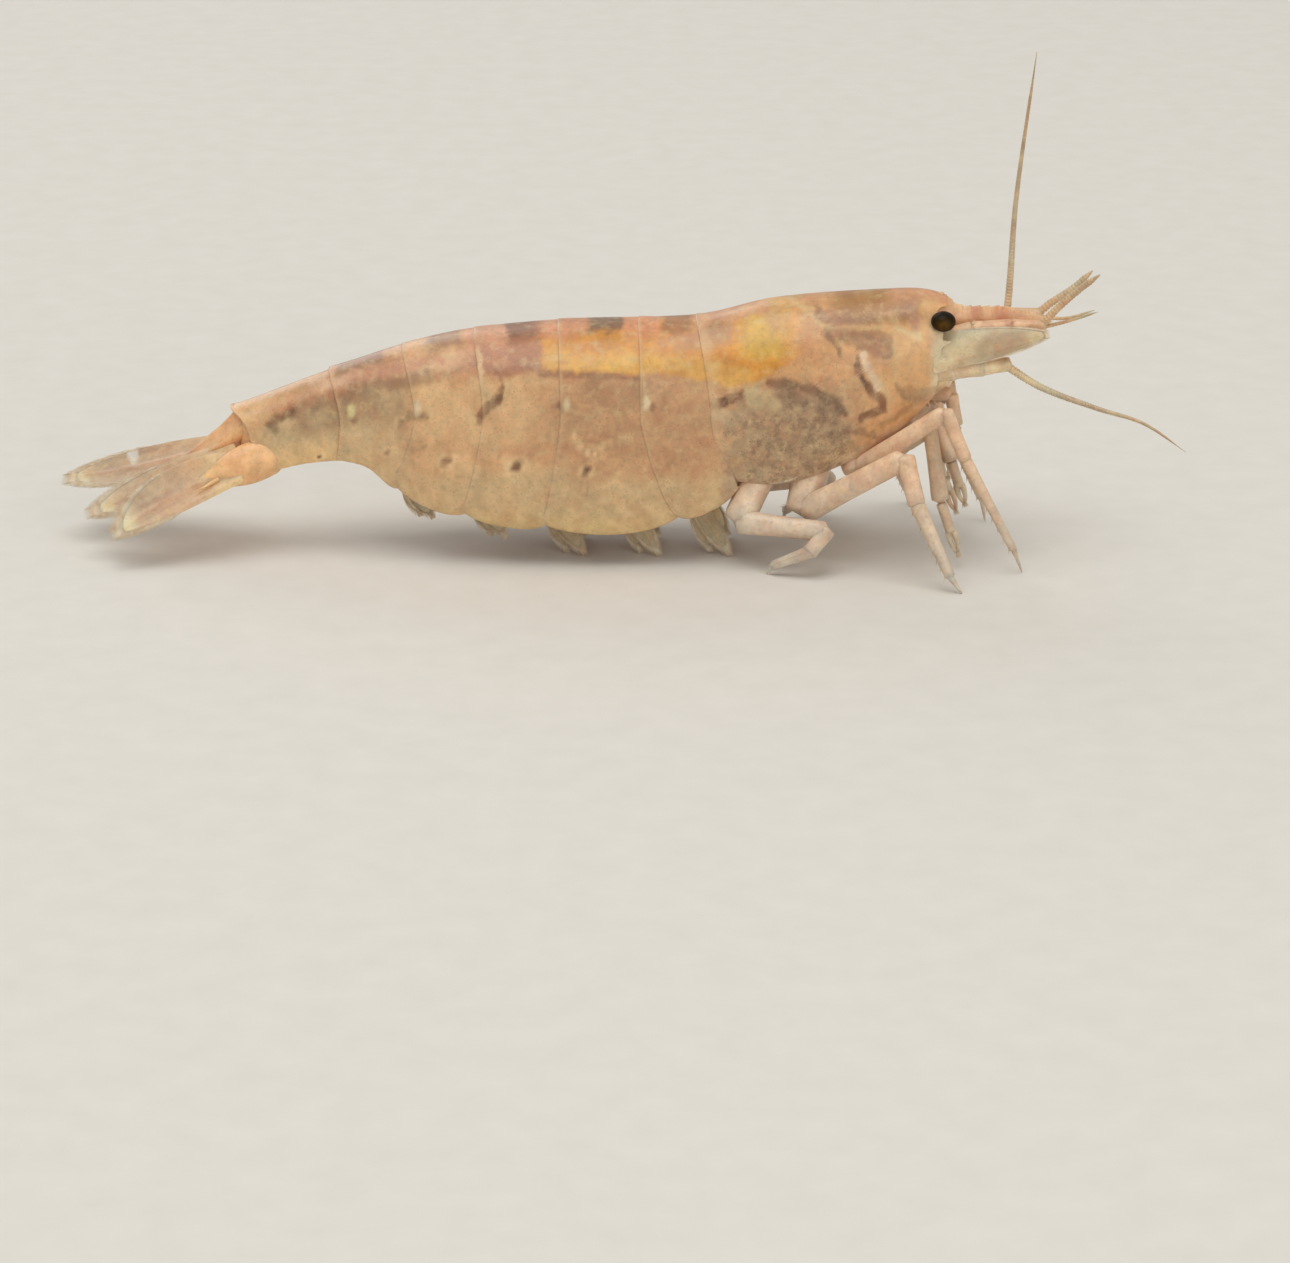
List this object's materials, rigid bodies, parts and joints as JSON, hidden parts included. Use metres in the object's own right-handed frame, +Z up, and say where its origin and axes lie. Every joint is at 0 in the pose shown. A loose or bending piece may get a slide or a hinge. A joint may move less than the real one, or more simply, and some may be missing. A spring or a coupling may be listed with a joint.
{
  "type": "freshwater dwarf shrimp",
  "caption": "Life-size still model of an orange dwarf aquarium shrimp, standing on its legs and swimmerets, with plated body, feelers and tail fan.",
  "frame": {"origin": "on the ground, under the centre of the bounding box", "axes": "+X towards the head, +Y to the animal's left, +Z up"},
  "size_m": [0.0316, 0.0094, 0.014],
  "materials": {
    "shell": "translucent orange shell with a yellow saddle, a dark speckled gill patch and pink bands along the back",
    "rear_shell": "translucent peach shell, pink along the back and brownish on the sides",
    "fin": "thin see-through peach blades with pale tips and hair fringes",
    "leg": "pale cream to pinkish translucent limbs",
    "feeler": "pinkish, with brown spots at the joints and ringed lashes",
    "eye": "glossy near-black brown"
  },
  "bodies": {
    "root": {"carapace": "shell", "rostrum": "feeler", "mouthparts": "leg", "telson": "rear_shell", "abdomen_1": "shell", "abdomen_2": "shell", "abdomen_3": "shell", "abdomen_4": "rear_shell", "abdomen_5": "rear_shell", "abdomen_6": "rear_shell", "eye_right": "eye", "eyestalk_right": "feeler", "antennule_right": "feeler", "antenna_right": "feeler", "antenna_scale_right": "fin", "maxilliped_right": "leg", "cheliped_1_right": "leg", "cheliped_2_right": "leg", "leg_3_right": "leg", "leg_4_right": "leg", "leg_5_right": "leg", "swimmeret_1_right": "fin", "swimmeret_2_right": "fin", "swimmeret_3_right": "fin", "swimmeret_4_right": "fin", "swimmeret_5_right": "fin", "uropod_stem_right": "rear_shell", "uropod_inner_right": "fin", "uropod_outer_right": "fin", "eye_left": "eye", "eyestalk_left": "feeler", "antennule_left": "feeler", "antenna_left": "feeler", "antenna_scale_left": "fin", "maxilliped_left": "leg", "cheliped_1_left": "leg", "cheliped_2_left": "leg", "leg_3_left": "leg", "leg_4_left": "leg", "leg_5_left": "leg", "swimmeret_1_left": "fin", "swimmeret_2_left": "fin", "swimmeret_3_left": "fin", "swimmeret_4_left": "fin", "swimmeret_5_left": "fin", "uropod_stem_left": "rear_shell", "uropod_inner_left": "fin", "uropod_outer_left": "fin"}
  },
  "joints": []
}
